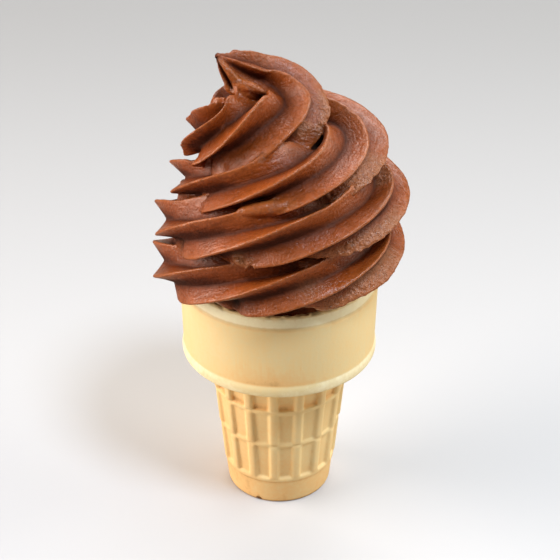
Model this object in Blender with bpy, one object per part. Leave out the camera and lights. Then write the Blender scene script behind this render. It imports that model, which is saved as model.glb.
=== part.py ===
"""Soft serve cone: a flat-bottomed wafer cake cone with a coiled swirl of soft serve on it.

The part stands on its flat base, centred on the Z axis, with its front towards -Y. The swirl
is one rope from a six-point star nozzle. It starts inside the cup, makes about three and a
half turns that climb and tighten, crosses over the top and ends in a curl that leans to -X.
Sizes below are in millimetres and degrees; the meshes are made in metres.
"""
import math

import bmesh
import bpy
import numpy as np

MM = 0.001

# ---- wafer: the tapered stem -----------------------------------------------------------
BASE_RADIUS = 15.8          # flat base
BASE_EDGE = 0.8             # rounding of the base's edge
STEM_TOP_RADIUS = 21.0      # over the ribs, where the stem meets the cup
BAND_TOP = 8.5              # plain band round the foot
BAND_INSET = 0.35
RIB_COUNT = 16
RIB_PHASE = -95.0           # bearing of the rib nearest the front
RIB_HALF_ANGLE = 4.3        # half the width of a rib's outer face
RIB_FLANK_ANGLE = 1.0       # slope of a rib's side
BAR_HEIGHT = 1.4            # the two bars that cross the ribs
BAR_CENTRES = (22.7, 35.35)
BAR_INSET = 0.45
WINDOW_DEPTH = 1.2          # floor of a window below the ribs
TOP_WINDOW_DEPTH = 2.3      # the top row is deepest just above its bar
EDGE = 0.3                  # height of the slope at a window's or bar's edge

# ---- wafer: the cup --------------------------------------------------------------------
LEDGE_Z = 47.25             # underside of the ring round the cup's foot
LEDGE_TOP = 50.75
LEDGE_RADIUS = 28.4
CUP_FOOT_RADIUS = 28.0
CUP_TOP_RADIUS = 28.5
LIP_Z = 69.5                # the wall steps in here, to a paler lip
LIP_INSET = 0.5
RIM_Z = 73.6
RIM_OUTER = 27.5
RIM_INNER = 25.9
CUP_FLOOR_Z = 52.0
CUP_FLOOR_RADIUS = 25.5

# ---- soft serve: the coil, at bearings that run on from turn to turn --------------------
ROPE_START = -700.0
COIL_END = 480.0            # from here the rope crosses the top
JOIN_AT = (360.0, 420.0, 480.0)         # the coil's last points, which the top's curve joins
ROPE_END = 900.0
COIL_AT = (-700, -450, -270, -90, 90, 270, 450, 620)
COIL_RADIUS = (25.5, 27.0, 27.5, 26.5, 23.5, 18.5, 15.5, 12.0)
COIL_HEIGHT = (71.0, 78.5, 84.5, 94.0, 98.5, 107.0, 116.5, 125.0)
DRIFT_AT = (-700, -270, 90, 450, 620)
DRIFT = (-1.4, 0.0, 1.1, 1.0, 1.0)      # the coil's centre wanders along X
TILT_X = 0.019              # rise of the coil per millimetre towards +X
TILT_Y = -0.169             # and towards +Y: the front is higher than the back
HALF_AT = (-700, -400, -50, 300, 620)
HALF_WIDTH = (10.8, 8.3, 9.2, 11.5, 9.1)
HALF_HEIGHT = (12.1, 9.3, 9.7, 8.4, 10.7)
TUCK_FROM = -640.0          # before this the rope lies inside the cup
TUCK_TO = -560.0            # and from here on its full turn
TUCK_IN = 11.0

# ---- soft serve: across the top and up into the curl ------------------------------------
PEAK_AT = (540, 585, 630, 675, 720, 760, 800, 850, 880, 900)
PEAK_PATH = (
    (-16.0, -6.5, 119.0),   # left shoulder
    (-14.5, -9.0, 119.0),
    (-8.5, -8.5, 119.5),    # front
    (-2.0, -5.0, 121.0),
    (1.0, -0.5, 123.5),     # right, where it doubles back
    (-1.0, 3.0, 127.0),
    (-6.0, 4.0, 130.5),     # over the middle
    (-10.5, 1.5, 134.5),
    (-13.5, -0.5, 136.5),
    (-17.0, -1.5, 139.5),   # tip of the curl
)
PEAK_SIZE_AT = (480, 540, 585, 630, 675, 720, 760, 800, 850, 880, 900)
PEAK_HALF_WIDTH = (9.9, 9.8, 11.8, 12.3, 12.7, 13.3, 10.3, 8.3, 6.4, 3.8, 0.8)
PEAK_HALF_HEIGHT = (9.9, 9.8, 12.2, 13.2, 11.8, 10.7, 9.3, 6.9, 5.5, 3.8, 0.6)
PEAK_TWIST_AT = (480, 600, 700, 800, 900)
PEAK_TWIST = (0.0, -2.0, 5.0, -8.0, -14.0)

# ---- soft serve: the rope's section -----------------------------------------------------
STAR_POINTS = 6
STAR_PHASE = 12.0           # bearing of a point of the nozzle
GROOVE = 0.55               # groove radius over ridge radius
RIDGE_BLUNT = 0.04          # how much of a ridge's tip is rounded away
SLUMP = ((2, 0.0, 0.22), (3, 0.16, -0.22), (4, -0.11, 0.09))   # waves, cosine, sine
LEAN_SIN = -17.0            # the nozzle leans, so the section rocks once a turn
LEAN_COS = 17.4
UPRIGHT = (600.0, 900.0)    # the lean fades out between these bearings
ROUND = (400.0, 640.0)      # and the slump between these
AROUND = 96                 # points round the section
STEP = 4.0                  # degrees of coil between sections
TIGHTEST = 0.97             # the inside of a bend stays within this share of its radius
HOLD = 6                    # the higher, the later the inside of a bend is held back
BEND_REACH = 14.0           # degrees of coil over which the bend is evened out

# ---- soft serve: the filling below and inside the coil ----------------------------------
CORE = ((25.1, 52.4), (25.4, 70.0), (24.0, 75.0), (21.5, 85.0), (19.5, 92.0),
        (17.0, 98.0), (12.0, 105.0), (8.0, 113.0), (4.0, 118.0))
SEGMENTS = 64
VOXEL = 0.8                 # cell size when rope and filling become one body
KEEP = 0.03                 # share of the faces kept afterwards
CLEARANCE = 0.3             # gap between the filling and the wafer

# ---- finish ------------------------------------------------------------------------------
WAFER_COLOUR = (0.80, 0.52, 0.27)
WAFER_ROUGHNESS = 0.65
SOFT_SERVE_COLOUR = (0.17, 0.055, 0.028)
SOFT_SERVE_ROUGHNESS = 0.4
SHARP_ANGLE = 35.0          # edges that turn more than this stay crisp


def spline(knots, values, at):
    """Cubic curve through the values at the knots, evaluated at each number in at."""
    x = np.asarray(knots, float)
    y = np.asarray(values, float)
    at = np.asarray(at, float)
    gap = np.diff(x)
    count = len(x)
    slope = (np.diff(y, axis=0).T / gap).T
    matrix = np.zeros((count, count))
    right = np.zeros_like(y)
    for i in range(1, count - 1):
        matrix[i, i - 1:i + 2] = gap[i - 1], 2 * (gap[i - 1] + gap[i]), gap[i]
        right[i] = 6 * (slope[i] - slope[i - 1])
    matrix[0, :3] = gap[1], -(gap[0] + gap[1]), gap[0]
    matrix[-1, -3:] = gap[-1], -(gap[-2] + gap[-1]), gap[-2]
    bend = np.linalg.solve(matrix, right)
    i = np.clip(np.searchsorted(x, at) - 1, 0, count - 2)
    t = at - x[i]
    h = gap[i]
    if y.ndim == 2:
        t = t[:, None]
        h = h[:, None]
    first = slope[i] - h * (2 * bend[i] + bend[i + 1]) / 6
    return y[i] + t * (first + t * (bend[i] / 2 + t * (bend[i + 1] - bend[i]) / (6 * h)))


def ramp(at, start, end):
    """0 before start, 1 after end, straight between."""
    return np.clip((at - start) / (end - start), 0.0, 1.0)


def smooth(values, reach):
    """Running mean with a bell-shaped weight that reaches over this many rows."""
    weight = np.exp(-0.5 * (np.arange(-3 * reach, 3 * reach + 1) / reach) ** 2)
    weight /= weight.sum()
    padded = np.pad(values, ((3 * reach, 3 * reach), (0, 0)), mode="edge")
    return np.stack([np.convolve(padded[:, k], weight, "valid") for k in range(3)], 1)


def unit(vectors):
    return vectors / (np.linalg.norm(vectors, axis=1)[:, None] + 1e-9)


def coil_path(at):
    """Centre of the rope on the coil."""
    angle = np.radians(at)
    tuck = 1 - ramp(at, TUCK_FROM, TUCK_TO)
    tuck = tuck * tuck * (3 - 2 * tuck)
    radius = spline(COIL_AT, COIL_RADIUS, at) - TUCK_IN * tuck
    x = radius * np.cos(angle)
    y = radius * np.sin(angle)
    z = spline(COIL_AT, COIL_HEIGHT, at) + TILT_X * x + TILT_Y * y
    return np.stack([x + spline(DRIFT_AT, DRIFT, at), y, z], 1)


def rope_path(at):
    """Centre of the rope from its start in the cup to the tip of the curl."""
    joins = np.array(JOIN_AT)
    knots = np.concatenate([joins, PEAK_AT])
    points = np.concatenate([coil_path(joins), PEAK_PATH])
    peak = spline(knots, points, np.maximum(at, COIL_END))
    coil = coil_path(np.minimum(at, COIL_END))
    return np.where((at < COIL_END)[:, None], coil, peak)


def rope_size(at, coil_sizes, peak_sizes):
    """Half width or half height of the rope."""
    coil = spline(HALF_AT, coil_sizes, np.minimum(at, COIL_END))
    peak = np.interp(at, PEAK_SIZE_AT, peak_sizes)
    return np.where(at < COIL_END, coil, peak)


def star(bearing):
    """Radius of the nozzle's star, 1 at a point, with straight sides down to each groove."""
    half = math.pi / STAR_POINTS
    off = abs((bearing + half) % (2 * half) - half)
    groove = np.array([GROOVE * math.cos(half), GROOVE * math.sin(half)])
    across = (groove[1], 1 - groove[0])
    radius = across[0] / (across[0] * math.cos(off) + across[1] * math.sin(off))
    return min(radius, 1 - RIDGE_BLUNT) / (1 - RIDGE_BLUNT)


def rope_sections():
    """Rings of points along the rope. The nozzle does not turn as it goes round."""
    at = np.arange(ROPE_START, ROPE_END + 0.1, STEP)
    path = rope_path(at)
    run = np.gradient(path, axis=0)
    length = np.linalg.norm(run, axis=1)[:, None]
    along = run / length
    up = np.array([0.0, 0.0, 1.0])
    outward = unit(np.cross(along, up))
    lift = np.cross(outward, along)
    wide = rope_size(at, HALF_WIDTH, PEAK_HALF_WIDTH)
    tall = rope_size(at, HALF_HEIGHT, PEAK_HALF_HEIGHT)
    bend = smooth(np.gradient(along, axis=0) / length, round(BEND_REACH / STEP))
    bend_size = np.linalg.norm(bend, axis=1)
    inside = bend / (bend_size[:, None] + 1e-9)
    limit = TIGHTEST / (bend_size + 1e-6)
    turn = np.radians(at)
    lean = np.radians(LEAN_SIN) * np.sin(turn) + np.radians(LEAN_COS) * np.cos(turn)
    lean = lean * (1 - ramp(at, *UPRIGHT))
    twist = np.radians(np.interp(at, PEAK_TWIST_AT, PEAK_TWIST))
    slumped = 1 - ramp(at, *ROUND)
    rings = []
    for k in range(AROUND):
        bearing = 2 * math.pi * k / AROUND
        compass = bearing + math.radians(STAR_PHASE)
        point = np.array([math.cos(compass), math.sin(compass), 0.0])
        pivot = np.cross(up, along)
        first = np.cross(pivot, point)
        second = np.cross(pivot, first)
        aim = point + first + second / (1 + along[:, 2:3])
        angle = np.arctan2((aim * lift).sum(1), (aim * outward).sum(1)) + lean + twist
        slump = sum(c * np.cos(n * angle) + s * np.sin(n * angle) for n, c, s in SLUMP)
        radius = star(bearing) * (1 + slumped * slump)
        offset = (radius * wide * np.cos(angle))[:, None] * outward
        offset = offset + (radius * tall * np.sin(angle))[:, None] * lift
        inward = (offset * inside).sum(1)
        tight = np.maximum(inward, 0.0) / limit
        held = inward / (1 + tight ** HOLD) ** (1 / HOLD)
        rings.append(path + offset + (held - inward)[:, None] * inside)
    return np.stack(rings, 1)


def new_object(name, points, faces):
    mesh = bpy.data.meshes.new(name)
    mesh.from_pydata([tuple(MM * c for c in p) for p in points], [], faces)
    mesh.update()
    obj = bpy.data.objects.new(name, mesh)
    bpy.context.scene.collection.objects.link(obj)
    return obj


def skin(name, rings):
    """Closed skin over rings of equal length, with a fan of faces over each end."""
    rows, columns = len(rings), len(rings[0])
    points = [p for ring in rings for p in ring]
    faces = []
    for i in range(rows - 1):
        for j in range(columns):
            k = (j + 1) % columns
            a, b = i * columns, (i + 1) * columns
            faces.append((a + j, a + k, b + k, b + j))
    points.append(np.mean(rings[0], axis=0))
    points.append(np.mean(rings[-1], axis=0))
    first, last = rows * columns, rows * columns + 1
    top = (rows - 1) * columns
    for j in range(columns):
        k = (j + 1) % columns
        faces.append((first, k, j))
        faces.append((last, top + j, top + k))
    return new_object(name, points, faces)


def turned(name, profile):
    """Turned skin over a profile of (radius, height) pairs."""
    bearings = [2 * math.pi * k / SEGMENTS for k in range(SEGMENTS)]
    rings = []
    for radius, height in profile:
        rings.append([(radius * math.cos(a), radius * math.sin(a), height) for a in bearings])
    return skin(name, rings)


def face_outward(obj):
    mesh = bmesh.new()
    mesh.from_mesh(obj.data)
    bmesh.ops.recalc_face_normals(mesh, faces=mesh.faces)
    mesh.to_mesh(obj.data)
    mesh.free()


def keep_largest(obj):
    """Leave only the largest connected skin, so that no sealed pocket or crumb is kept."""
    mesh = bmesh.new()
    mesh.from_mesh(obj.data)
    seen = set()
    islands = []
    for start in mesh.verts:
        if start.index in seen:
            continue
        island = []
        stack = [start]
        seen.add(start.index)
        while stack:
            vert = stack.pop()
            island.append(vert)
            for edge in vert.link_edges:
                other = edge.other_vert(vert)
                if other.index not in seen:
                    seen.add(other.index)
                    stack.append(other)
        islands.append(island)
    islands.sort(key=len)
    for island in islands[:-1]:
        bmesh.ops.delete(mesh, geom=island, context="VERTS")
    mesh.to_mesh(obj.data)
    mesh.free()


def apply_modifiers(obj):
    """Replace the object's mesh by the mesh that its modifiers give."""
    graph = bpy.context.evaluated_depsgraph_get()
    mesh = bpy.data.meshes.new_from_object(obj.evaluated_get(graph))
    obj.modifiers.clear()
    obj.data = mesh


def colour(obj, name, rgb, roughness):
    material = bpy.data.materials.new(name)
    material.use_nodes = True
    shader = material.node_tree.nodes["Principled BSDF"]
    shader.inputs["Base Color"].default_value = (*rgb, 1.0)
    shader.inputs["Roughness"].default_value = roughness
    shader.inputs["Metallic"].default_value = 0.0
    obj.data.materials.clear()
    obj.data.materials.append(material)
    obj.data.shade_smooth()
    obj.data.set_sharp_from_angle(angle=math.radians(SHARP_ANGLE))


def stem_radius(z):
    """Outer face of the ribs."""
    return BASE_RADIUS + (STEM_TOP_RADIUS - BASE_RADIUS) * z / LEDGE_Z


def wafer_rows():
    """Rows of the wafer's skin from the base up, over the rim and down inside the cup.

    Each row is (height, radius at the ribs, radius between the ribs).
    """
    rows = [(0.0, BASE_RADIUS - BASE_EDGE, None)]
    for turn in (30.0, 60.0, 90.0):
        back = BASE_EDGE * (1 - math.sin(math.radians(turn)))
        lift = BASE_EDGE * (1 - math.cos(math.radians(turn)))
        inset = BAND_INSET * turn / 90.0
        rows.append((lift, stem_radius(lift) - inset - back, None))
    rows.append((BAND_TOP, stem_radius(BAND_TOP) - BAND_INSET, None))
    rows.append((BAND_TOP + EDGE, stem_radius(BAND_TOP + EDGE), None))
    floor_starts = [BAND_TOP + BAR_HEIGHT] + [c + BAR_HEIGHT / 2 for c in BAR_CENTRES]
    floor_ends = [c - BAR_HEIGHT / 2 for c in BAR_CENTRES] + [LEDGE_Z]
    depths = [(WINDOW_DEPTH, WINDOW_DEPTH)] * len(BAR_CENTRES) + [(TOP_WINDOW_DEPTH, WINDOW_DEPTH)]
    inset = 0.0
    for start, end, (low_depth, high_depth) in zip(floor_starts, floor_ends, depths):
        rows.append((start, stem_radius(start), stem_radius(start) - inset))
        rows.append((start + EDGE, stem_radius(start + EDGE), stem_radius(start) - low_depth))
        inset = BAR_INSET
        if end < LEDGE_Z:
            rows.append((end - EDGE, stem_radius(end - EDGE), stem_radius(end) - high_depth))
            rows.append((end, stem_radius(end), stem_radius(end) - inset))
        else:
            rows.append((end, stem_radius(end), stem_radius(end) - high_depth))
    rows.append((LEDGE_Z, LEDGE_RADIUS - EDGE, None))
    rows.append((LEDGE_Z + 2 * EDGE, LEDGE_RADIUS, None))
    rows.append((LEDGE_TOP - EDGE, LEDGE_RADIUS, None))
    rows.append((LEDGE_TOP, CUP_FOOT_RADIUS, None))
    rows.append((LIP_Z, CUP_TOP_RADIUS, None))
    rows.append((LIP_Z + EDGE, CUP_TOP_RADIUS - LIP_INSET, None))
    rows.append((RIM_Z - EDGE, RIM_OUTER, None))
    rows.append((RIM_Z, RIM_OUTER - EDGE, None))
    rows.append((RIM_Z, RIM_INNER + EDGE, None))
    rows.append((RIM_Z - EDGE, RIM_INNER, None))
    rows.append((CUP_FLOOR_Z, CUP_FLOOR_RADIUS, None))
    return rows


def make_cake_cone():
    """The wafer: ribs, bars and windows round the stem, and the cup above."""
    pitch = 360.0 / RIB_COUNT
    columns = []
    for rib in range(RIB_COUNT):
        middle = RIB_PHASE + pitch * rib
        outer = RIB_HALF_ANGLE
        foot = RIB_HALF_ANGLE + RIB_FLANK_ANGLE
        columns += [(middle - outer, True), (middle + outer, True)]
        columns += [(middle + foot, False), (middle + pitch - foot, False)]
    rings = []
    for height, at_rib, between in wafer_rows():
        ring = []
        for bearing, on_rib in columns:
            radius = at_rib if on_rib or between is None else between
            angle = math.radians(bearing)
            ring.append((radius * math.cos(angle), radius * math.sin(angle), height))
        rings.append(ring)
    cone = skin("cake_cone", rings)
    face_outward(cone)
    colour(cone, "wafer", WAFER_COLOUR, WAFER_ROUGHNESS)
    return cone


def wafer_clearance():
    """Turned ring that keeps the soft serve off the cup's wall and rim. It only cuts."""
    profile = [
        (CUP_FLOOR_RADIUS - CLEARANCE, LEDGE_Z),
        (CUP_TOP_RADIUS + CLEARANCE, LEDGE_Z),
        (CUP_TOP_RADIUS + CLEARANCE, LIP_Z + 1.0),
        (RIM_OUTER + 2 * CLEARANCE, RIM_Z + CLEARANCE),
        (RIM_INNER - CLEARANCE, RIM_Z + CLEARANCE),
    ]
    bearings = [2 * math.pi * k / SEGMENTS for k in range(SEGMENTS)]
    points = []
    faces = []
    for i, (radius, height) in enumerate(profile):
        a = i * SEGMENTS
        b = (i + 1) % len(profile) * SEGMENTS
        for j, bearing in enumerate(bearings):
            k = (j + 1) % SEGMENTS
            points.append((radius * math.cos(bearing), radius * math.sin(bearing), height))
            faces.append((a + j, a + k, b + k, b + j))
    ring = new_object("wafer_clearance", points, faces)
    face_outward(ring)
    ring.hide_render = True
    ring.display_type = "WIRE"
    return ring


def make_soft_serve():
    """The rope and the filling under it, made one body and cut clear of the wafer."""
    rope = skin("rope", rope_sections())
    core = turned("core", CORE)
    face_outward(rope)
    face_outward(core)
    both = bmesh.new()
    both.from_mesh(rope.data)
    both.from_mesh(core.data)
    mesh = bpy.data.meshes.new("soft_serve")
    both.to_mesh(mesh)
    both.free()
    bpy.data.objects.remove(rope)
    bpy.data.objects.remove(core)
    swirl = bpy.data.objects.new("soft_serve", mesh)
    bpy.context.scene.collection.objects.link(swirl)

    remesh = swirl.modifiers.new("one_body", "REMESH")
    remesh.mode = "VOXEL"
    remesh.voxel_size = VOXEL * MM
    apply_modifiers(swirl)
    keep_largest(swirl)
    thin = swirl.modifiers.new("fewer_faces", "DECIMATE")
    thin.ratio = KEEP
    thin.use_collapse_triangulate = True
    apply_modifiers(swirl)
    cut = swirl.modifiers.new("clear_of_wafer", "BOOLEAN")
    cut.operation = "DIFFERENCE"
    cut.solver = "EXACT"
    cut.object = wafer_clearance()
    apply_modifiers(swirl)
    keep_largest(swirl)
    colour(swirl, "soft_serve", SOFT_SERVE_COLOUR, SOFT_SERVE_ROUGHNESS)
    return swirl


for old in list(bpy.data.objects):
    bpy.data.objects.remove(old)
make_cake_cone()
make_soft_serve()
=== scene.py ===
import math

import bpy
import numpy as np
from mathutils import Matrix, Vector, kdtree, noise


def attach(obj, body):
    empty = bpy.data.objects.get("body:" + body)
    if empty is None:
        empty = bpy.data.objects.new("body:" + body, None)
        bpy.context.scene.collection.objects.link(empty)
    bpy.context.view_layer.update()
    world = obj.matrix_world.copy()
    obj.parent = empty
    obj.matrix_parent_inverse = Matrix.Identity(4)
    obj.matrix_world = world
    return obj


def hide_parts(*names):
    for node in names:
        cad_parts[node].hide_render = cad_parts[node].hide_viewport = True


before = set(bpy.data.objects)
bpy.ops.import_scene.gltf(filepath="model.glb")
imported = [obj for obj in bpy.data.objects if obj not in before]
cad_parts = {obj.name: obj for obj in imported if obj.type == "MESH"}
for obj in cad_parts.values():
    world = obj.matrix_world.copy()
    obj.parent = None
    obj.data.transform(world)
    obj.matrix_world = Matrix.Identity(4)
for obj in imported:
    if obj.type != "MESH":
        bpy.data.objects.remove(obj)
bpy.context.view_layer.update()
bpy.ops.object.select_all(action="DESELECT")
MM = 0.001

# ---------------------------------------------------------------------------------------
# Camera: 0.45 m from the cone, looking down on it at about thirty degrees.
AIM = Vector((0.0, 0.0, 0.069))
CAMERA_DISTANCE = 0.450
CAMERA_RISE = math.radians(30.84)

back = Vector((0.0, -math.cos(CAMERA_RISE), math.sin(CAMERA_RISE)))
bpy.ops.object.camera_add(location=AIM + CAMERA_DISTANCE * back)
camera = bpy.context.object
camera.name = "camera"
camera.rotation_euler = (-back).to_track_quat("-Z", "Y").to_euler()
camera.data.lens = 100.37
camera.data.sensor_width = 36.0
camera.data.shift_x = 0.00155
bpy.context.scene.camera = camera

# ---------------------------------------------------------------------------------------
# Studio light: two broad soft walls of light at the sides, one high behind, and a smaller
# cool one in front on the right that throws the shadow. The world adds a weak white fill.
WORLD_FILL = 0.04


def soft_box(name, place, size, power, tint):
    """A round lamp that faces the cone: place and size in metres, power in watts."""
    bpy.ops.object.light_add(type="AREA", location=place)
    lamp = bpy.context.object
    lamp.name = name
    lamp.rotation_euler = (AIM - Vector(place)).to_track_quat("-Z", "Y").to_euler()
    lamp.data.shape = "DISK"
    lamp.data.size = size
    lamp.data.energy = power
    lamp.data.color = tint


soft_box("box_right", (1.20, 0.20, 0.70), 1.30, 15.5, (1.0, 0.96, 0.86))
soft_box("box_left", (-1.30, -0.10, 0.62), 1.40, 33.0, (1.0, 0.91, 0.83))
soft_box("box_top", (0.05, 0.75, 0.95), 0.90, 7.5, (1.0, 0.99, 0.98))
soft_box("box_key", (0.36, -0.46, 1.13), 0.30, 11.0, (0.74, 0.86, 1.0))

world = bpy.data.worlds.new("studio")
world.use_nodes = True
world.node_tree.nodes["Background"].inputs["Color"].default_value = (1.0, 1.0, 1.0, 1.0)
world.node_tree.nodes["Background"].inputs["Strength"].default_value = WORLD_FILL
bpy.context.scene.world = world
bpy.context.scene.view_settings.view_transform = "Standard"

# ---------------------------------------------------------------------------------------
# Floor: one plain pale sheet, with painted shade that makes it a little darker towards the
# back. It throws less light back at the cone than it shows, as a floor in a large dim room does.
FLOOR_SIZE = 6.0
FLOOR_NEAR = (0.60, 0.595, 0.60, 1.0)
FLOOR_FAR = (0.355, 0.353, 0.353, 1.0)
FLOOR_THROWN = (0.52, 0.45, 0.37, 1.0)      # the colour of the light that it throws back
FLOOR_MIRRORED = (0.20, 0.16, 0.13, 1.0)    # the colour that shows in gloss
FADE_FROM = -0.12
FADE_TO = 0.45


def new_material(name):
    """A material with its node tree and its Principled shader."""
    material = bpy.data.materials.new(name)
    material.use_nodes = True
    return material, material.node_tree, material.node_tree.nodes["Principled BSDF"]


def feed(tree, node, inputs):
    """Set each named input to a value, or link it to the output of another node."""
    for socket, value in inputs.items():
        if isinstance(value, bpy.types.NodeSocket):
            tree.links.new(value, node.inputs[socket])
        else:
            node.inputs[socket].default_value = value


def add_node(tree, kind, inputs, **settings):
    """A new node of a kind, with its settings made and its inputs fed."""
    node = tree.nodes.new("ShaderNode" + kind)
    for name, value in settings.items():
        setattr(node, name, value)
    feed(tree, node, inputs)
    return node


def mix_colours(tree, factor, first, second):
    """The first colour turned into the second by a factor."""
    inputs = {"Factor": factor, "A": first, "B": second}
    return add_node(tree, "Mix", inputs, data_type="RGBA").outputs["Result"]


def remap(tree, value, start, end, low=0.0, high=1.0, blend="LINEAR"):
    """A number moved from one range to another and held at its ends."""
    inputs = {"Value": value, "From Min": start, "From Max": end, "To Min": low, "To Max": high}
    return add_node(tree, "MapRange", inputs, interpolation_type=blend).outputs["Result"]


bpy.ops.mesh.primitive_plane_add(size=FLOOR_SIZE, location=(0.0, 0.0, 0.0))
floor = bpy.context.object
floor.name = "floor"
floor_paint, tree, shader = new_material("pale_floor")
place = add_node(tree, "TexCoord", {}).outputs["Object"]
across = add_node(tree, "SeparateXYZ", {"Vector": place}).outputs["Y"]
# Painted shade: the floor's colour fades from near to far, darker towards the back.
fade = remap(tree, across, FADE_FROM, FADE_TO, blend="SMOOTHSTEP")
paper = mix_colours(tree, fade, FLOOR_NEAR, FLOOR_FAR)
seen = add_node(tree, "LightPath", {})
thrown = mix_colours(tree, seen.outputs["Is Diffuse Ray"], paper, FLOOR_THROWN)
mirrored = mix_colours(tree, seen.outputs["Is Glossy Ray"], thrown, FLOOR_MIRRORED)
feed(tree, shader, {"Base Color": mirrored, "Roughness": 0.7, "Specular IOR Level": 0.15})
floor.data.materials.append(floor_paint)

# ---------------------------------------------------------------------------------------
# Cake cone: a baked wafer, moulded in one piece. A stem with ribs, bars and windows carries
# a ring and a smooth cup with a paler, stepped-in lip. It is turned from a profile, and the
# ribs are rounded tongues that are fused on. Lengths are in millimetres.
BASE_RADIUS = 15.8
STEM_TOP_RADIUS = 21.0
STEM_HEIGHT = 47.25
RIB_COUNT = 16
RIB_BEARING = -95.0
RIB_WIDTH = 2.9
RIB_THICKNESS = 4.0
RIB_ROUNDING = 1.0
RIB_TIP_IN = 1.2        # degrees that each tongue leans in from the stem's slope
RIB_ROWS = ((9.4, 22.9), (23.0, 35.6), (35.7, 49.0))
WINDOW_DEPTH = 1.0
BAR_INSET = 0.45
BAND_INSET = 0.35
CONE_SIDES = 192
CONE_VOXEL = 0.32
CONE_KEEP = 0.35        # share of the triangles that the finished mesh keeps


def stem(z, inset=0.0):
    """A point of the stem's turned profile: radius of the ribs' faces less an inset."""
    return (BASE_RADIUS + (STEM_TOP_RADIUS - BASE_RADIUS) * z / STEM_HEIGHT - inset, z)


# Radius and height from the base up the stem, over the ring, up the cup and down inside it.
WAFER_PROFILE = [
    (14.9, 0.0), (15.25, 0.15), stem(0.55, 0.42), stem(1.0, BAND_INSET),
    stem(8.3, BAND_INSET), stem(8.6, 0.05), stem(9.7, 0.15), stem(10.1, WINDOW_DEPTH),
    stem(21.8, WINDOW_DEPTH), stem(22.1, BAR_INSET), stem(23.3, BAR_INSET),
    stem(23.6, WINDOW_DEPTH), stem(34.4, WINDOW_DEPTH), stem(34.7, BAR_INSET),
    stem(35.9, BAR_INSET), stem(36.1, 1.5), stem(46.6, 1.0), stem(47.0, 1.0),
    (27.7, STEM_HEIGHT), (28.15, 47.5), (28.4, 48.1), (28.45, 49.3), (28.3, 50.2),
    (28.0, 50.75), (28.05, 52.0), (28.3, 62.0), (28.5, 69.4), (28.35, 69.7), (28.0, 69.95),
    (27.75, 71.5), (27.5, 73.2), (27.25, 73.6), (26.3, 73.6), (25.95, 73.2), (25.5, 52.0),
]


def modify(obj, kind, **settings):
    """Put a modifier with these settings on the active object and apply it."""
    modifier = obj.modifiers.new(kind.lower(), kind)
    for name, value in settings.items():
        setattr(modifier, name, value)
    bpy.ops.object.modifier_apply(modifier=modifier.name)


bpy.ops.mesh.primitive_circle_add(
    vertices=CONE_SIDES, radius=WAFER_PROFILE[0][0] * MM, fill_type="NGON"
)
cone = bpy.context.object
cone.name = "wafer_cone"
bpy.ops.object.mode_set(mode="EDIT")
bpy.ops.mesh.select_all(action="SELECT")
for (r0, z0), (r1, z1) in zip(WAFER_PROFILE, WAFER_PROFILE[1:]):
    bpy.ops.mesh.extrude_region_move(TRANSFORM_OT_translate={"value": (0, 0, (z1 - z0) * MM)})
    bpy.ops.transform.resize(value=(r1 / r0, r1 / r0, 1), center_override=(0, 0, z1 * MM))
bpy.ops.mesh.select_all(action="SELECT")
bpy.ops.mesh.normals_make_consistent(inside=False)
bpy.ops.object.mode_set(mode="OBJECT")

# One tongue of each row is modelled on the rib that faces the front, then copied round.
slope = math.atan((STEM_TOP_RADIUS - BASE_RADIUS) / STEM_HEIGHT)
tongues = []
for low, high in RIB_ROWS:
    bpy.ops.object.select_all(action="DESELECT")
    bpy.ops.mesh.primitive_cube_add(size=1.0)
    tongue = bpy.context.object
    tongue.scale = (RIB_WIDTH * MM, RIB_THICKNESS * MM, (high - low) * MM)
    bpy.ops.object.transform_apply(location=False, rotation=False, scale=True)
    bpy.ops.object.mode_set(mode="EDIT")
    bpy.ops.mesh.select_all(action="SELECT")
    bpy.ops.mesh.bevel(offset=RIB_ROUNDING * MM, segments=5, profile=0.5)
    bpy.ops.object.mode_set(mode="OBJECT")
    middle = (low + high) / 2
    tongue.rotation_euler = (slope - math.radians(RIB_TIP_IN), 0.0, 0.0)
    tongue.location = (0.0, -(stem(middle)[0] - RIB_THICKNESS / 2) * MM, middle * MM)
    bpy.ops.object.transform_apply()
    tongue.rotation_euler = (0.0, 0.0, math.radians(RIB_BEARING + 90.0))
    bpy.ops.object.transform_apply()
    tongues.append(tongue)
    for k in range(1, RIB_COUNT):
        bpy.ops.object.select_all(action="DESELECT")
        tongue.select_set(True)
        bpy.context.view_layer.objects.active = tongue
        bpy.ops.object.duplicate()
        copy = bpy.context.object
        copy.rotation_euler = (0.0, 0.0, 2 * math.pi * k / RIB_COUNT)
        bpy.ops.object.transform_apply()
        tongues.append(copy)
bpy.ops.object.select_all(action="DESELECT")
for tongue in tongues:
    tongue.select_set(True)
cone.select_set(True)
bpy.context.view_layer.objects.active = cone
bpy.ops.object.join()

modify(cone, "REMESH", mode="VOXEL", voxel_size=CONE_VOXEL * MM)
modify(cone, "SMOOTH", factor=0.5, iterations=5)
modify(cone, "DECIMATE", ratio=CONE_KEEP)
bpy.ops.object.shade_smooth()


def vertex_places(obj):
    """Vertex positions in millimetres."""
    places = np.empty(len(obj.data.vertices) * 3, np.float32)
    obj.data.vertices.foreach_get("co", places)
    return places.reshape(-1, 3) / MM


def move_vertices(obj, places):
    """Put the vertices at these positions, in millimetres."""
    obj.data.vertices.foreach_set("co", np.asarray(places * MM, np.float32).ravel())
    obj.data.update()


def ramp(at, start, end):
    """0 at start and before it, 1 from end on, straight between; end may be the smaller."""
    return np.clip((at - start) / (end - start), 0.0, 1.0)


def band(at, start, full, fade, end):
    """1 between full and fade, 0 below start and above end."""
    return ramp(at, start, full) * ramp(at, end, fade)


def paint(obj, name, values):
    """Keep one number per vertex for the material to read."""
    layer = obj.data.attributes.new(name, "FLOAT", "POINT")
    layer.data.foreach_set("value", np.asarray(values, np.float32))


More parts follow.
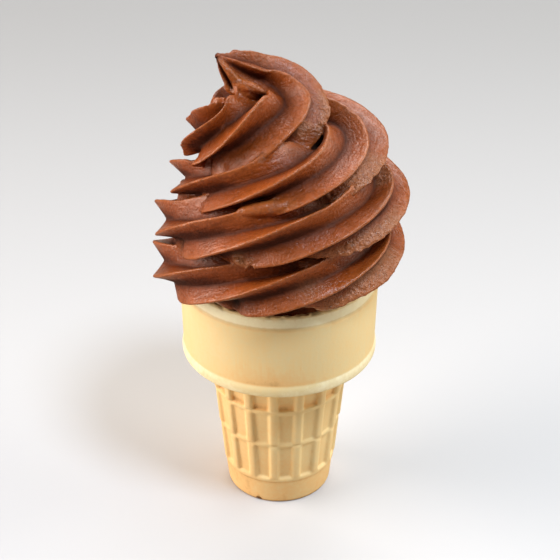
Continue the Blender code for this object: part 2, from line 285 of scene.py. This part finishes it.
# The rim is crumbly: its top edge is eaten away unevenly, the step of the lip less so.
CRUMBLE = 0.45
CRUMB_GRAIN = 0.55
places = vertex_places(cone)
radius = np.hypot(places[:, 0], places[:, 1])
height = places[:, 2]
crumbly = ramp(height, 72.6, 73.4) + 0.25 * band(height, 68.8, 69.6, 70.0, 70.6)
crumbly = crumbly * ramp(radius, 25.0, 25.8)
for i in np.nonzero(crumbly > 0.02)[0]:
    bite = noise.noise(Vector(places[i].tolist()) * CRUMB_GRAIN) * CRUMBLE * float(crumbly[i])
    places[i, :2] *= 1 + bite / radius[i]
    places[i, 2] -= abs(bite)
move_vertices(cone, places)

# How brown the wafer is at each vertex, more for browner: how well it is baked, with painted
# shade and painted light added. The foot, the windows and the left side are browner: the
# windows, the shelf above the upper bar, the foot band's top edge and the step below the lip
# as painted shade, and the left side partly as painted warm light. The ring and the lip are
# paler, partly as painted light.
PLAIN = 0.17
SPOT = (-6.1, -14.2, 0.6)       # a scorched spot at the foot's edge
PATCH = (-3.0, -28.0, 52.5)     # a browner patch low on the cup's front
PATCH_REACH = (11.0, 11.0, 3.5)
depth = BASE_RADIUS + (STEM_TOP_RADIUS - BASE_RADIUS) * height / STEM_HEIGHT - radius
on_stem = ramp(height, 47.6, 47.2) * ramp(radius, 8.0, 10.0)
window = on_stem * ramp(depth, 0.5, 1.1)
toast_shade_and_light = PLAIN + 0.03 * on_stem + 0.06 * ramp(height, 9.0, 8.0)
toast_shade_and_light += 0.08 * on_stem * ramp(height, 40.0, 0.0)
# The left side of the stem browner: partly baked, partly painted warm light from the left.
toast_shade_and_light += 0.08 * on_stem * ramp(places[:, 0], 6.0, -16.0)
# Painted shade in the windows' recesses, a little more in the top row.
toast_shade_and_light += 0.04 * window * ramp(height, 9.5, 10.5) + 0.02 * window * ramp(height, 36.0, 36.6)
toast_shade_and_light += 0.15 * ramp(height, 0.9, 0.2) + 0.15 * ramp(height, 73.0, 73.5)
for amount, where, heights in (
    # Painted shade on the shelf above the upper bar, under the ledge.
    (0.16, window, (35.8, 36.3, 37.0, 38.6)),                   # shelf above the upper bar
    # Painted shadow under the raised bottom bar, on the top edge of the foot band.
    (0.22, ramp(depth, 0.15, 0.35), (7.9, 8.3, 8.6, 9.0)),      # top edge of the foot band
    # The ring paler, partly a painted highlight on its rounded edge.
    (-0.14, 1.0, (47.2, 47.5, 50.7, 51.2)),                     # ring
    (0.08, 1.0, (50.7, 51.0, 51.5, 53.0)),                      # crease above the ring
    # Painted shade under the step below the lip.
    (0.10, 1.0, (68.9, 69.4, 69.6, 70.0)),                      # step below the lip
    # The lip paler: partly its own paler bake, partly painted light where the chocolate shades it.
    (-0.24, 1.0, (70.0, 70.4, 72.4, 73.0)),                     # lip
):
    toast_shade_and_light += amount * where * band(height, *heights)
toast_shade_and_light += 0.60 * ramp(np.linalg.norm(places - np.array(SPOT), axis=1), 1.1, 0.4)
toast_shade_and_light += 0.24 * np.exp(-(((places - np.array(PATCH)) / np.array(PATCH_REACH)) ** 2).sum(1))
paint(cone, "toast_shade_and_light", toast_shade_and_light)

# Colours of the wafer from raw to scorched.
WAFER_TONES = (
    (0.16, (0.94, 0.87, 0.60)), (0.28, (0.90, 0.79, 0.52)), (0.38, (0.80, 0.645, 0.35)),
    (0.52, (0.84, 0.62, 0.30)), (0.68, (0.85, 0.53, 0.22)), (0.84, (0.55, 0.30, 0.10)),
    (0.96, (0.20, 0.085, 0.022)),
)
CLOUD_WEIGHT = 0.26
STRIPE_WEIGHT = 0.14
CRUMB_WEIGHT = 0.16


def painted(tree, name, output="Fac"):
    """What paint() kept under this name."""
    return add_node(tree, "Attribute", {}, attribute_name=name).outputs[output]


def grain_noise(tree, where, scale, detail, roughness=0.5):
    """Noise at a place, about 0.5 on average."""
    inputs = {"Vector": where, "Scale": scale, "Detail": detail, "Roughness": roughness}
    return add_node(tree, "TexNoise", inputs).outputs["Fac"]


def add_scaled(tree, base, value, weight):
    """The base plus the value times its weight."""
    inputs = {0: value, 1: weight, 2: base}
    return add_node(tree, "Math", inputs, operation="MULTIPLY_ADD").outputs["Value"]


def colour_ramp(tree, factor, stops):
    """Colours by position, with straight blends between them."""
    node = add_node(tree, "ValToRGB", {"Fac": factor})
    elements = node.color_ramp.elements
    for element, (position, tone) in zip(elements, (stops[0], stops[-1])):
        element.position = position
        element.color = (*tone, 1.0)
    for position, tone in stops[1:-1]:
        elements.new(position).color = (*tone, 1.0)
    return node.outputs["Color"]


wafer, tree, shader = new_material("baked_wafer")
place = add_node(tree, "TexCoord", {}).outputs["Object"]
cloud = grain_noise(tree, place, 110.0, 4.0, 0.6)
drawn = add_node(tree, "Mapping", {"Vector": place, "Scale": (1.0, 1.0, 0.12)}).outputs["Vector"]
stripe = grain_noise(tree, drawn, 260.0, 3.0)
crumb = grain_noise(tree, place, 900.0, 3.0)
toasted_lit_and_shaded = add_scaled(tree, painted(tree, "toast_shade_and_light"), cloud, CLOUD_WEIGHT)
toasted_lit_and_shaded = add_scaled(tree, toasted_lit_and_shaded, stripe, STRIPE_WEIGHT)
toasted_lit_and_shaded = add_scaled(tree, toasted_lit_and_shaded, crumb, CRUMB_WEIGHT)
grain = add_node(tree, "Bump", {"Strength": 0.35, "Distance": 0.12 * MM, "Height": crumb})
feed(tree, shader, {
    "Base Color": colour_ramp(tree, toasted_lit_and_shaded, WAFER_TONES),
    "Roughness": 0.58,
    "Specular IOR Level": 0.35,
    "Normal": grain.outputs["Normal"],
})
cone.data.materials.clear()
cone.data.materials.append(wafer)
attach(cone, "root")
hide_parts("cake_cone")

# ---------------------------------------------------------------------------------------
# Soft serve: one rope of chocolate soft serve from a six-point star nozzle, coiled up from
# inside the cup, laid across the top and pulled off into a curl. It is swept ring by ring,
# fused with the filling inside it, then pitted and smeared.

# A place along the rope is its bearing round the cone in degrees: 0 at the right, -90 and
# 270 at the front. Over the top it only counts on. Lengths are in millimetres.
ROPE_START = -700.0
COIL_END = 480.0
ROPE_END = 900.0
JOIN_AT = (360.0, 420.0, 480.0)     # the coil's last points, which the top's curve joins
COIL_AT = (-700, -450, -270, -90, 90, 270, 450, 620)
COIL_RADIUS = (25.5, 27.0, 27.5, 26.5, 23.5, 18.5, 15.5, 12.0)
COIL_HEIGHT = (71.0, 78.5, 84.5, 94.0, 98.5, 107.0, 116.5, 125.0)
DRIFT_AT = (-700, -270, 90, 450, 620)
DRIFT = (-1.4, 0.0, 1.1, 1.0, 1.0)      # shift of the coil's centre to the right
TILT_X = 0.019                          # rise of each turn for each millimetre of X and Y
TILT_Y = -0.169
HALF_AT = (-700, -400, -50, 300, 620)
HALF_WIDTH = (10.8, 8.3, 9.2, 11.5, 9.1)
HALF_HEIGHT = (12.1, 9.3, 9.7, 8.4, 10.7)
TUCK = (-640.0, -560.0)     # the start of the rope comes out from TUCK_IN further inside
TUCK_IN = 11.0
PEAK_AT = (540, 585, 630, 675, 720, 760, 800, 850, 880, 900)
PEAK_PATH = (
    (-16.0, -6.5, 119.0),   # left shoulder
    (-14.5, -9.0, 119.0),
    (-8.5, -8.5, 119.5),    # front
    (-2.0, -5.0, 121.0),
    (1.0, -0.5, 123.5),     # right, where it doubles back
    (-1.0, 3.0, 127.0),
    (-6.0, 4.0, 130.5),     # over the middle
    (-10.5, 1.5, 134.5),
    (-13.5, -0.5, 136.5),
    (-17.0, -1.5, 139.5),   # tip of the curl
)
PEAK_SIZE_AT = (480, 540, 585, 630, 675, 720, 760, 800, 850, 880, 900)
PEAK_HALF_WIDTH = (9.9, 9.8, 11.8, 12.3, 12.7, 13.3, 10.3, 8.3, 6.4, 3.8, 0.8)
PEAK_HALF_HEIGHT = (9.9, 9.8, 12.2, 13.2, 11.8, 10.7, 9.3, 6.9, 5.5, 3.8, 0.6)
PEAK_TWIST_AT = (480, 600, 700, 800, 900)
PEAK_TWIST = (0.0, -2.0, 5.0, -8.0, -14.0)
STAR_POINTS = 6
STAR_PHASE = 12.0
GROOVE = 0.49               # radius at the bottom of a groove, of 1 at a ridge
RIDGE_BLUNT = 0.06
SLUMP = ((2, 0.0, 0.22), (3, 0.16, -0.22), (4, -0.11, 0.09))    # waves round the section
LEAN_SIN = -17.0            # lean of the nozzle as it goes round, in degrees
LEAN_COS = 17.4
UPRIGHT = (600.0, 900.0)    # the lean fades out between these bearings
ROUND = (400.0, 640.0)      # and the slump between these
TIGHTEST = 0.97             # share of a bend's radius that the rope may fill on the inside
HOLD = 6
BEND_REACH = 14.0
AROUND = 192                # points round the section
STEP = 1.5                  # degrees between sections
# Ragged stretches: place along the rope and half length, bearing round its section and half
# width, both in degrees, and depth in millimetres.
TEARS = (
    (716, 22, 358, 9, 0.7), (692, 12, 335, 20, 0.25), (294, 12, 355, 9, 1.0),
    (325, 22, 350, 18, 0.5), (-6, 16, 286, 16, 0.5), (-48, 34, 355, 15, 0.5),
    (-392, 24, 338, 26, 0.4), (-111, 8, 298, 14, 1.2), (-415, 12, 354, 12, 0.6),
)
TEAR_GRAIN = 1.0
TEAR_FINER = 2.3            # the finer grain of a tear, in times the coarse one
TEAR_BITE = (0.35, 1.3, 0.9)    # mean depth of a bite, and what the two grains add
SWELL = 0.35
SWELL_GRAIN = 0.11
RIPPLE = 0.10
RIPPLE_GRAIN = 0.45
CALM_END = 60.0             # the last degrees of the curl run smooth
# Places where the finished surface is pushed: centre, reach and push. The first PITS of
# them are hollows with painted shade inside, and the others shape the curl's neck and the
# left shoulder.
PUSHES = (
    ((-26.6, -15.2, 89.9), 3.2, (1.2, 1.6, 0.0)), ((-12.4, -28.2, 78.3), 3.6, (1.2, 2.4, 0.0)),
    ((11.0, 1.5, 112.2), 7.0, (0.0, 0.0, -1.0)), ((-5.2, -5.4, 129.0), 2.4, (0.3, 0.9, -0.6)),
    ((-10.8, -7.1, 131.9), 3.5, (0.0, 0.0, -2.0)), ((-2.9, -7.8, 132.2), 3.0, (0.0, 0.0, -1.6)),
    ((-16.0, -2.0, 128.0), 5.0, (0.5, 0.0, -1.5)), ((-25.0, -8.0, 124.0), 5.0, (1.8, 0.0, 0.0)),
    ((-23.0, -7.8, 113.0), 3.5, (-2.0, 0.0, -1.0)), ((-21.5, -16.0, 114.0), 2.5, (-1.2, 0.0, 0.0)),
)
PITS = 4
# Pale spots: torn crumbs that dried paler, and painted highlights where light catches the
# chocolate: centre, reach and strength.
PALE = (
    ((-10.3, -29.1, 92.3), 2.0, 2.2), ((12.1, -22.5, 106.8), 2.0, 2.0),
    ((8.0, -25.5, 106.9), 1.4, 2.0), ((14.0, -28.4, 77.4), 3.5, 1.4),
    ((8.5, -32.4, 84.0), 4.0, 0.7),
)
# One thin crease with painted shade in it runs down the curl's front: its ends as X and Z,
# half width, depth towards +Y, the range of Y that it reaches, and how dark its painted
# shade is, of 1.
CREASE_ENDS = ((-16.4, 138.2), (-12.7, 131.2))
CREASE_WIDTH = 0.5
CREASE_DEPTH = 1.4
CREASE_REACH = (-7.0, 0.0)
CREASE_SHADE = 0.8
# Lumps, each from end to end with a half thickness: the filling under the curl's neck,
# three thin folds that run down from its tip, a crumb on the shoulder, a smear on a torn
# ridge, and four that close gaps between turns, the last one behind.
LUMPS = (
    ((-12.9, -3.0, 131.0), (-6.2, -3.6, 129.2), 2.2),
    ((-15.8, -3.0, 137.8), (-10.5, -4.2, 132.4), 1.1),
    ((-11.5, -4.0, 133.2), (-5.0, -5.2, 130.6), 1.3),
    ((-15.8, -2.6, 137.0), (-12.9, -3.8, 130.4), 1.0),
    ((-17.6, -5.0, 128.8), (-17.5, -5.0, 129.1), 0.55),
    ((-11.3, -28.6, 92.3), (-9.3, -29.6, 91.8), 1.1),
    ((6.5, -25.9, 89.9), (14.0, -25.2, 91.2), 1.7),
    ((-9.0, -27.3, 106.4), (3.5, -27.0, 107.6), 2.0),
    ((11.0, -27.6, 76.9), (17.6, -26.2, 77.8), 1.4),
    ((-4.0, 15.5, 101.0), (16.0, 9.0, 98.5), 5.6),
)
# Places on the curl's neck that are smoothed further: centre and reach.
CALM = (((-15.5, -2.5, 128.0), 4.5), ((-11.5, -9.5, 129.5), 4.0))
# Outline of the filling inside the coil, from the cup's floor up: radius and height.
CORE = (
    (25.3, 52.2), (25.6, 70.0), (24.0, 75.0), (21.5, 85.0), (19.5, 92.0),
    (17.0, 98.0), (12.0, 105.0), (8.0, 113.0), (4.0, 118.0),
)
CORE_SIDES = 96
SWIRL_VOXEL = 0.36
SWIRL_KEEP = 0.22


def spline(knots, values, at):
    """Cubic curve through the values at the knots, evaluated at each number in at."""
    x = np.asarray(knots, float)
    y = np.asarray(values, float)
    at = np.asarray(at, float)
    gap = np.diff(x)
    count = len(x)
    slope = (np.diff(y, axis=0).T / gap).T
    matrix = np.zeros((count, count))
    right = np.zeros_like(y)
    for i in range(1, count - 1):
        matrix[i, i - 1:i + 2] = gap[i - 1], 2 * (gap[i - 1] + gap[i]), gap[i]
        right[i] = 6 * (slope[i] - slope[i - 1])
    matrix[0, :3] = gap[1], -(gap[0] + gap[1]), gap[0]
    matrix[-1, -3:] = gap[-1], -(gap[-2] + gap[-1]), gap[-2]
    bend = np.linalg.solve(matrix, right)
    i = np.clip(np.searchsorted(x, at) - 1, 0, count - 2)
    t = at - x[i]
    h = gap[i]
    if y.ndim == 2:
        t = t[:, None]
        h = h[:, None]
    first = slope[i] - h * (2 * bend[i] + bend[i + 1]) / 6
    return y[i] + t * (first + t * (bend[i] / 2 + t * (bend[i + 1] - bend[i]) / (6 * h)))


def smooth(values, reach):
    """Running mean with a bell-shaped weight that reaches over this many rows."""
    weight = np.exp(-0.5 * (np.arange(-3 * reach, 3 * reach + 1) / reach) ** 2)
    weight /= weight.sum()
    padded = np.pad(values, ((3 * reach, 3 * reach), (0, 0)), mode="edge")
    return np.stack([np.convolve(padded[:, k], weight, "valid") for k in range(3)], 1)


def unit(vectors):
    """Each row at length 1."""
    return vectors / (np.linalg.norm(vectors, axis=1)[:, None] + 1e-9)


def coil_path(at):
    """The rope's centre line up the coil."""
    angle = np.radians(at)
    tuck = 1 - ramp(at, *TUCK)
    tuck = tuck * tuck * (3 - 2 * tuck)
    radius = spline(COIL_AT, COIL_RADIUS, at) - TUCK_IN * tuck
    x = radius * np.cos(angle)
    y = radius * np.sin(angle)
    z = spline(COIL_AT, COIL_HEIGHT, at) + TILT_X * x + TILT_Y * y
    return np.stack([x + spline(DRIFT_AT, DRIFT, at), y, z], 1)


def rope_path(at):
    """The whole centre line: the coil, then the curve over the top."""
    joins = np.array(JOIN_AT)
    knots = np.concatenate([joins, PEAK_AT])
    points = np.concatenate([coil_path(joins), PEAK_PATH])
    peak = spline(knots, points, np.maximum(at, COIL_END))
    coil = coil_path(np.minimum(at, COIL_END))
    return np.where((at < COIL_END)[:, None], coil, peak)


def rope_size(at, coil_sizes, peak_sizes):
    """A half size of the rope's section along the coil and over the top."""
    coil = spline(HALF_AT, coil_sizes, np.minimum(at, COIL_END))
    peak = np.interp(at, PEAK_SIZE_AT, peak_sizes)
    return np.where(at < COIL_END, coil, peak)


def star(bearing):
    """Radius of the star nozzle at a bearing, 1 at its blunted points."""
    half = math.pi / STAR_POINTS
    off = abs((bearing + half) % (2 * half) - half)
    groove = np.array([GROOVE * math.cos(half), GROOVE * math.sin(half)])
    across = (groove[1], 1 - groove[0])
    radius = across[0] / (across[0] * math.cos(off) + across[1] * math.sin(off))
    return min(radius, 1 - RIDGE_BLUNT) / (1 - RIDGE_BLUNT)


def rope_sections():
    """Places along the rope, and a ring of points round the rope at each."""
    at = np.arange(ROPE_START, ROPE_END + 0.1, STEP)
    path = rope_path(at)
    run = np.gradient(path, axis=0)
    length = np.linalg.norm(run, axis=1)[:, None]
    along = run / length
    up = np.array([0.0, 0.0, 1.0])
    outward = unit(np.cross(along, up))
    lift = np.cross(outward, along)
    wide = rope_size(at, HALF_WIDTH, PEAK_HALF_WIDTH)
    tall = rope_size(at, HALF_HEIGHT, PEAK_HALF_HEIGHT)
    bend = smooth(np.gradient(along, axis=0) / length, round(BEND_REACH / STEP))
    bend_size = np.linalg.norm(bend, axis=1)
    inside = bend / (bend_size[:, None] + 1e-9)
    limit = TIGHTEST / (bend_size + 1e-6)
    turn = np.radians(at)
    lean = np.radians(LEAN_SIN) * np.sin(turn) + np.radians(LEAN_COS) * np.cos(turn)
    lean = lean * (1 - ramp(at, *UPRIGHT))
    twist = np.radians(np.interp(at, PEAK_TWIST_AT, PEAK_TWIST))
    slumped = 1 - ramp(at, *ROUND)
    pivot = np.cross(up, along)
    rings = []
    for k in range(AROUND):
        bearing = 2 * math.pi * k / AROUND
        compass = bearing + math.radians(STAR_PHASE)
        point = np.array([math.cos(compass), math.sin(compass), 0.0])
        first = np.cross(pivot, point)
        second = np.cross(pivot, first)
        aim = point + first + second / (1 + along[:, 2:3])
        angle = np.arctan2((aim * lift).sum(1), (aim * outward).sum(1)) + lean + twist
        slump = sum(c * np.cos(n * angle) + s * np.sin(n * angle) for n, c, s in SLUMP)
        radius = star(bearing) * (1 + slumped * slump)
        offset = (radius * wide * np.cos(angle))[:, None] * outward
        offset = offset + (radius * tall * np.sin(angle))[:, None] * lift
        inward = (offset * inside).sum(1)
        tight = np.maximum(inward, 0.0) / limit
        held = inward / (1 + tight ** HOLD) ** (1 / HOLD)
        rings.append(path + offset + (held - inward)[:, None] * inside)
    return at, np.stack(rings, 1)


def off_line(places, start, end):
    """Distance of each place from the straight line between two points."""
    start, line = np.array(start), np.array(end) - np.array(start)
    part = np.clip((places - start) @ line / (line @ line), 0.0, 1.0)
    return np.linalg.norm(places - start - part[:, None] * line, axis=1)


def along_crease(places):
    """1 on the line of the crease, falling to 0 at its sides and ends and off its range of Y."""
    off = off_line(places[:, [0, 2]], *CREASE_ENDS)
    inside = (places[:, 1] > CREASE_REACH[0]) & (places[:, 1] < CREASE_REACH[1])
    return np.exp(-(off / CREASE_WIDTH) ** 2) * inside


def grain_at(places, fineness):
    """Smooth noise at each place, from about -1 to 1."""
    return np.array([noise.noise(Vector(p) * fineness) for p in places.reshape(-1, 3).tolist()])


def roughened(at, rings):
    """Swell and ripple the rope a little, and tear the ragged stretches."""
    outward = rings - rings.mean(1, keepdims=True)
    outward /= np.linalg.norm(outward, axis=2, keepdims=True) + 1e-9
    shape = rings.shape[:2]
    rise = SWELL * grain_at(rings, SWELL_GRAIN) + RIPPLE * grain_at(rings, RIPPLE_GRAIN)
    rise = rise.reshape(shape) * ramp(at, ROPE_END, ROPE_END - CALM_END)[:, None]
    torn = np.zeros(shape)
    mean, coarse, finer = TEAR_BITE
    around = np.arange(AROUND) * 360.0 / AROUND
    for middle, reach, bearing, spread, depth in TEARS:
        off = np.abs((around - bearing + 180.0) % 360.0 - 180.0)
        mask = ramp(np.abs(at - middle), reach, 0.6 * reach)[:, None]
        mask = mask * ramp(off, spread, 0.5 * spread)
        rows, columns = np.nonzero(mask > 0.01)
        bite = mean + coarse * grain_at(rings[rows, columns], TEAR_GRAIN)
        bite += finer * grain_at(rings[rows, columns], TEAR_FINER * TEAR_GRAIN)
        rise[rows, columns] -= depth * mask[rows, columns] * bite
        torn = np.maximum(torn, mask)
    return rings + rise[:, :, None] * outward, torn


def skin(name, rings):
    """A closed mesh through rings of points, with a fan of triangles at each end."""
    rows, columns = rings.shape[:2]
    ends = np.stack([rings[0].mean(0), rings[-1].mean(0)])
    points = np.concatenate([rings.reshape(-1, 3), ends]) * MM
    i, j = np.meshgrid(np.arange(rows - 1), np.arange(columns), indexing="ij")
    k = (j + 1) % columns
    a, b = i * columns, (i + 1) * columns
    quads = np.stack([a + j, a + k, b + k, b + j], -1).reshape(-1, 4).tolist()
    top = (rows - 1) * columns
    first, last = rows * columns, rows * columns + 1
    for j in range(columns):
        k = (j + 1) % columns
        quads.append((first, k, j))
        quads.append((last, top + j, top + k))
    mesh = bpy.data.meshes.new(name)
    mesh.from_pydata(points, [], quads)
    mesh.update()
    obj = bpy.data.objects.new(name, mesh)
    bpy.context.scene.collection.objects.link(obj)
    return obj


at, rings = rope_sections()
rings, torn = roughened(at, rings)
rope = skin("soft_serve_swirl", rings)
sides = np.linspace(0, 2 * math.pi, CORE_SIDES, endpoint=False)
core_rings = [[(r * math.cos(a), r * math.sin(a), z) for a in sides] for r, z in CORE]
core = skin("core", np.array(core_rings))
lumps = []
for start, end, thickness in LUMPS:
    start, end = Vector(start), Vector(end)
    bpy.ops.object.select_all(action="DESELECT")
    bpy.ops.mesh.primitive_uv_sphere_add(segments=48, ring_count=24, radius=MM)
    lump = bpy.context.object
    lump.scale = (thickness, thickness, thickness + (end - start).length / 2)
    lump.rotation_euler = (end - start).to_track_quat("Z", "Y").to_euler()
    lump.location = (start + end) / 2 * MM
    bpy.ops.object.transform_apply()
    lumps.append(lump)
bpy.ops.object.select_all(action="DESELECT")
for piece in (core, *lumps, rope):
    piece.select_set(True)
    bpy.context.view_layer.objects.active = piece
    bpy.ops.object.mode_set(mode="EDIT")
    bpy.ops.mesh.select_all(action="SELECT")
    bpy.ops.mesh.normals_make_consistent(inside=False)
    bpy.ops.object.mode_set(mode="OBJECT")
bpy.ops.object.join()
swirl = bpy.context.object
modify(swirl, "REMESH", mode="VOXEL", voxel_size=SWIRL_VOXEL * MM)
modify(swirl, "SMOOTH", factor=0.5, iterations=2)
calm = swirl.vertex_groups.new(name="calm")
for centre, reach in CALM:
    off = np.linalg.norm(vertex_places(swirl) - np.array(centre), axis=1)
    calm.add(np.nonzero(off < reach)[0].tolist(), 1.0, "REPLACE")
modify(swirl, "SMOOTH", factor=0.5, iterations=20, vertex_group="calm")
places = vertex_places(swirl)
places[:, 1] += CREASE_DEPTH * along_crease(places)
move_vertices(swirl, places)
modify(swirl, "DECIMATE", ratio=SWIRL_KEEP)
bpy.ops.object.shade_smooth()

# The pushes, with painted shade in the pits and the crease, which makes them darker.
places = vertex_places(swirl)
hollow_shade = CREASE_SHADE * along_crease(places)
for k, (centre, reach, push) in enumerate(PUSHES):
    near = np.exp(-((places - np.array(centre)) ** 2).sum(1) / (0.5 * reach * reach))
    places = places + near[:, None] * np.array(push)
    if k < PITS:
        hollow_shade = np.maximum(hollow_shade, near)
move_vertices(swirl, places)

# Where each vertex lies on the rope: from a ridge at 0 to a groove's bottom at 1, which the
# colours turn into a painted glow on the ridges and painted shade in the grooves, with painted
# shade added on the undersides, drawn towards the grooves' darker brown; and how torn it is.
# Lumps have no grooves and no painted groove shade. The flow attribute unrolls the rope, so
# that its streaks run along it.
UNDERSIDE_SHADE = 0.90
LUMP_REACH = 1.2        # in half thicknesses of the lump
FLOW_ROUND = 3.0
FLOW_ALONG = 40.0
finder = kdtree.KDTree(rings.shape[0] * rings.shape[1])
for i, point in enumerate(rings.reshape(-1, 3).tolist()):
    finder.insert(point, i)
finder.balance()
nearest = np.array([finder.find(p)[1] for p in places.tolist()])
row, column = nearest // AROUND, nearest % AROUND
pitch = AROUND / STAR_POINTS
sunk = np.abs((column + pitch / 2) % pitch - pitch / 2) / (pitch / 2)
# The lumps get no painted groove shade, so that they show lit.
for start, end, thickness in LUMPS:
    off = off_line(places, start, end)
    sunk *= 1 - np.exp(-(off / (LUMP_REACH * thickness)) ** 4)
normals = np.empty(len(places) * 3, np.float32)
swirl.data.vertices.foreach_get("normal", normals)
# Painted shade on the undersides: facets that face down are made darker.
underside_shade = ramp(normals.reshape(-1, 3)[:, 2], 0.15, -0.75)
paint(swirl, "groove", np.minimum(sunk + UNDERSIDE_SHADE * underside_shade * ramp(sunk, 0.05, 0.45), 1.0))
pale = torn.ravel()[nearest]
# Pale spots: some are dried torn crumbs, some are painted highlights.
for centre, reach, most in PALE:
    off = np.linalg.norm(places - np.array(centre), axis=1)
    pale = np.maximum(pale, most * np.exp(-(off / reach) ** 2))
paint(swirl, "torn", pale)
paint(swirl, "hollow_shade", hollow_shade)
round_rope = 2 * math.pi * column / AROUND
flow = FLOW_ROUND * np.stack([np.cos(round_rope), np.sin(round_rope)], 1)
flow = np.column_stack([flow, at[row] / FLOW_ALONG])
layer = swirl.data.attributes.new("flow", "FLOAT_VECTOR", "POINT")
layer.data.foreach_set("vector", flow.astype(np.float32).ravel())

# Colours from a ridge to the bottom of a groove: lighter on the ridges as a painted glow and
# darker towards the grooves as painted shade. Then the colour of a torn and dried stretch,
# also used for painted highlights, and of a pit, which is painted shade.
CHOCOLATE_GLOW_TO_SHADE = (
    (0.0, (0.34, 0.088, 0.018)), (0.10, (0.33, 0.080, 0.016)), (0.20, (0.29, 0.061, 0.009)),
    (0.65, (0.18, 0.034, 0.005)), (1.0, (0.06, 0.010, 0.002)),
)
DRY_AND_LIT_TONE = (0.36, 0.15, 0.065, 1.0)
DRY_AND_LIT_SHARE = 0.40
PIT_SHADE_TONE = (0.012, 0.004, 0.002, 1.0)
SPECULAR_TONE = (1.0, 0.90, 0.84, 1.0)
FINE_WEIGHT = 0.8
CRUMB_HEIGHT = 2.5


def combine(tree, operation, first, second):
    """Two numbers added or multiplied."""
    return add_node(tree, "Math", {0: first, 1: second}, operation=operation).outputs["Value"]


chocolate, tree, shader = new_material("chocolate_soft_serve")
place = add_node(tree, "TexCoord", {}).outputs["Object"]
groove = painted(tree, "groove")
frayed_and_lit = painted(tree, "torn")
pit_shade = painted(tree, "hollow_shade")
mottle = grain_noise(tree, place, 240.0, 6.0, 0.7)
streak = grain_noise(tree, painted(tree, "flow", "Vector"), 4.5, 4.0, 0.65)
fine = grain_noise(tree, place, 1300.0, 2.0)
crumbs = grain_noise(tree, place, 650.0, 3.0)

# Colour: a painted glow on the ridges and painted shade in the grooves and on the undersides,
# lighter and darker by the noises, paler where it is torn and in painted highlights, and
# painted shade in the pits and the crease.
uneven = add_scaled(tree, combine(tree, "ADD", mottle, streak), fine, FINE_WEIGHT)
tint = {
    "Vector": colour_ramp(tree, groove, CHOCOLATE_GLOW_TO_SHADE),
    "Scale": remap(tree, uneven, 1.05, 1.75, 0.70, 1.30),
}
toned = add_node(tree, "VectorMath", tint, operation="SCALE").outputs["Vector"]
dry_and_lit = mix_colours(tree, combine(tree, "MULTIPLY", frayed_and_lit, DRY_AND_LIT_SHARE), toned, DRY_AND_LIT_TONE)
colour = mix_colours(tree, pit_shade, dry_and_lit, PIT_SHADE_TONE)

# Gloss: moist in patches on the ridges, dull in the grooves and pits.
sunken = combine(tree, "ADD", groove, pit_shade)
polish = remap(tree, mottle, 0.3, 0.7, 0.22, 0.38)
roughness = combine(tree, "ADD", polish, remap(tree, sunken, 0.6, 1.0, 0.0, 0.35))
sheen = remap(tree, sunken, 0.75, 0.30)
moist = combine(tree, "MULTIPLY", sheen, remap(tree, streak, 0.40, 0.65, 0.25, 1.0))

# Grain: fine all over, with crumbs where it is torn.
relief = add_scaled(tree, uneven, combine(tree, "MULTIPLY", crumbs, frayed_and_lit), CRUMB_HEIGHT)
grain = add_node(tree, "Bump", {"Strength": 0.8, "Distance": 0.35 * MM, "Height": relief})
feed(tree, shader, {
    "Base Color": colour,
    "Roughness": roughness,
    "Specular IOR Level": 0.26,
    "Specular Tint": SPECULAR_TONE,
    "Coat Weight": moist,
    "Coat Roughness": 0.28,
    "Coat IOR": 1.50,
    "Normal": grain.outputs["Normal"],
    "Coat Normal": grain.outputs["Normal"],
})
swirl.data.materials.clear()
swirl.data.materials.append(chocolate)
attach(swirl, "root")
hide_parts("soft_serve")
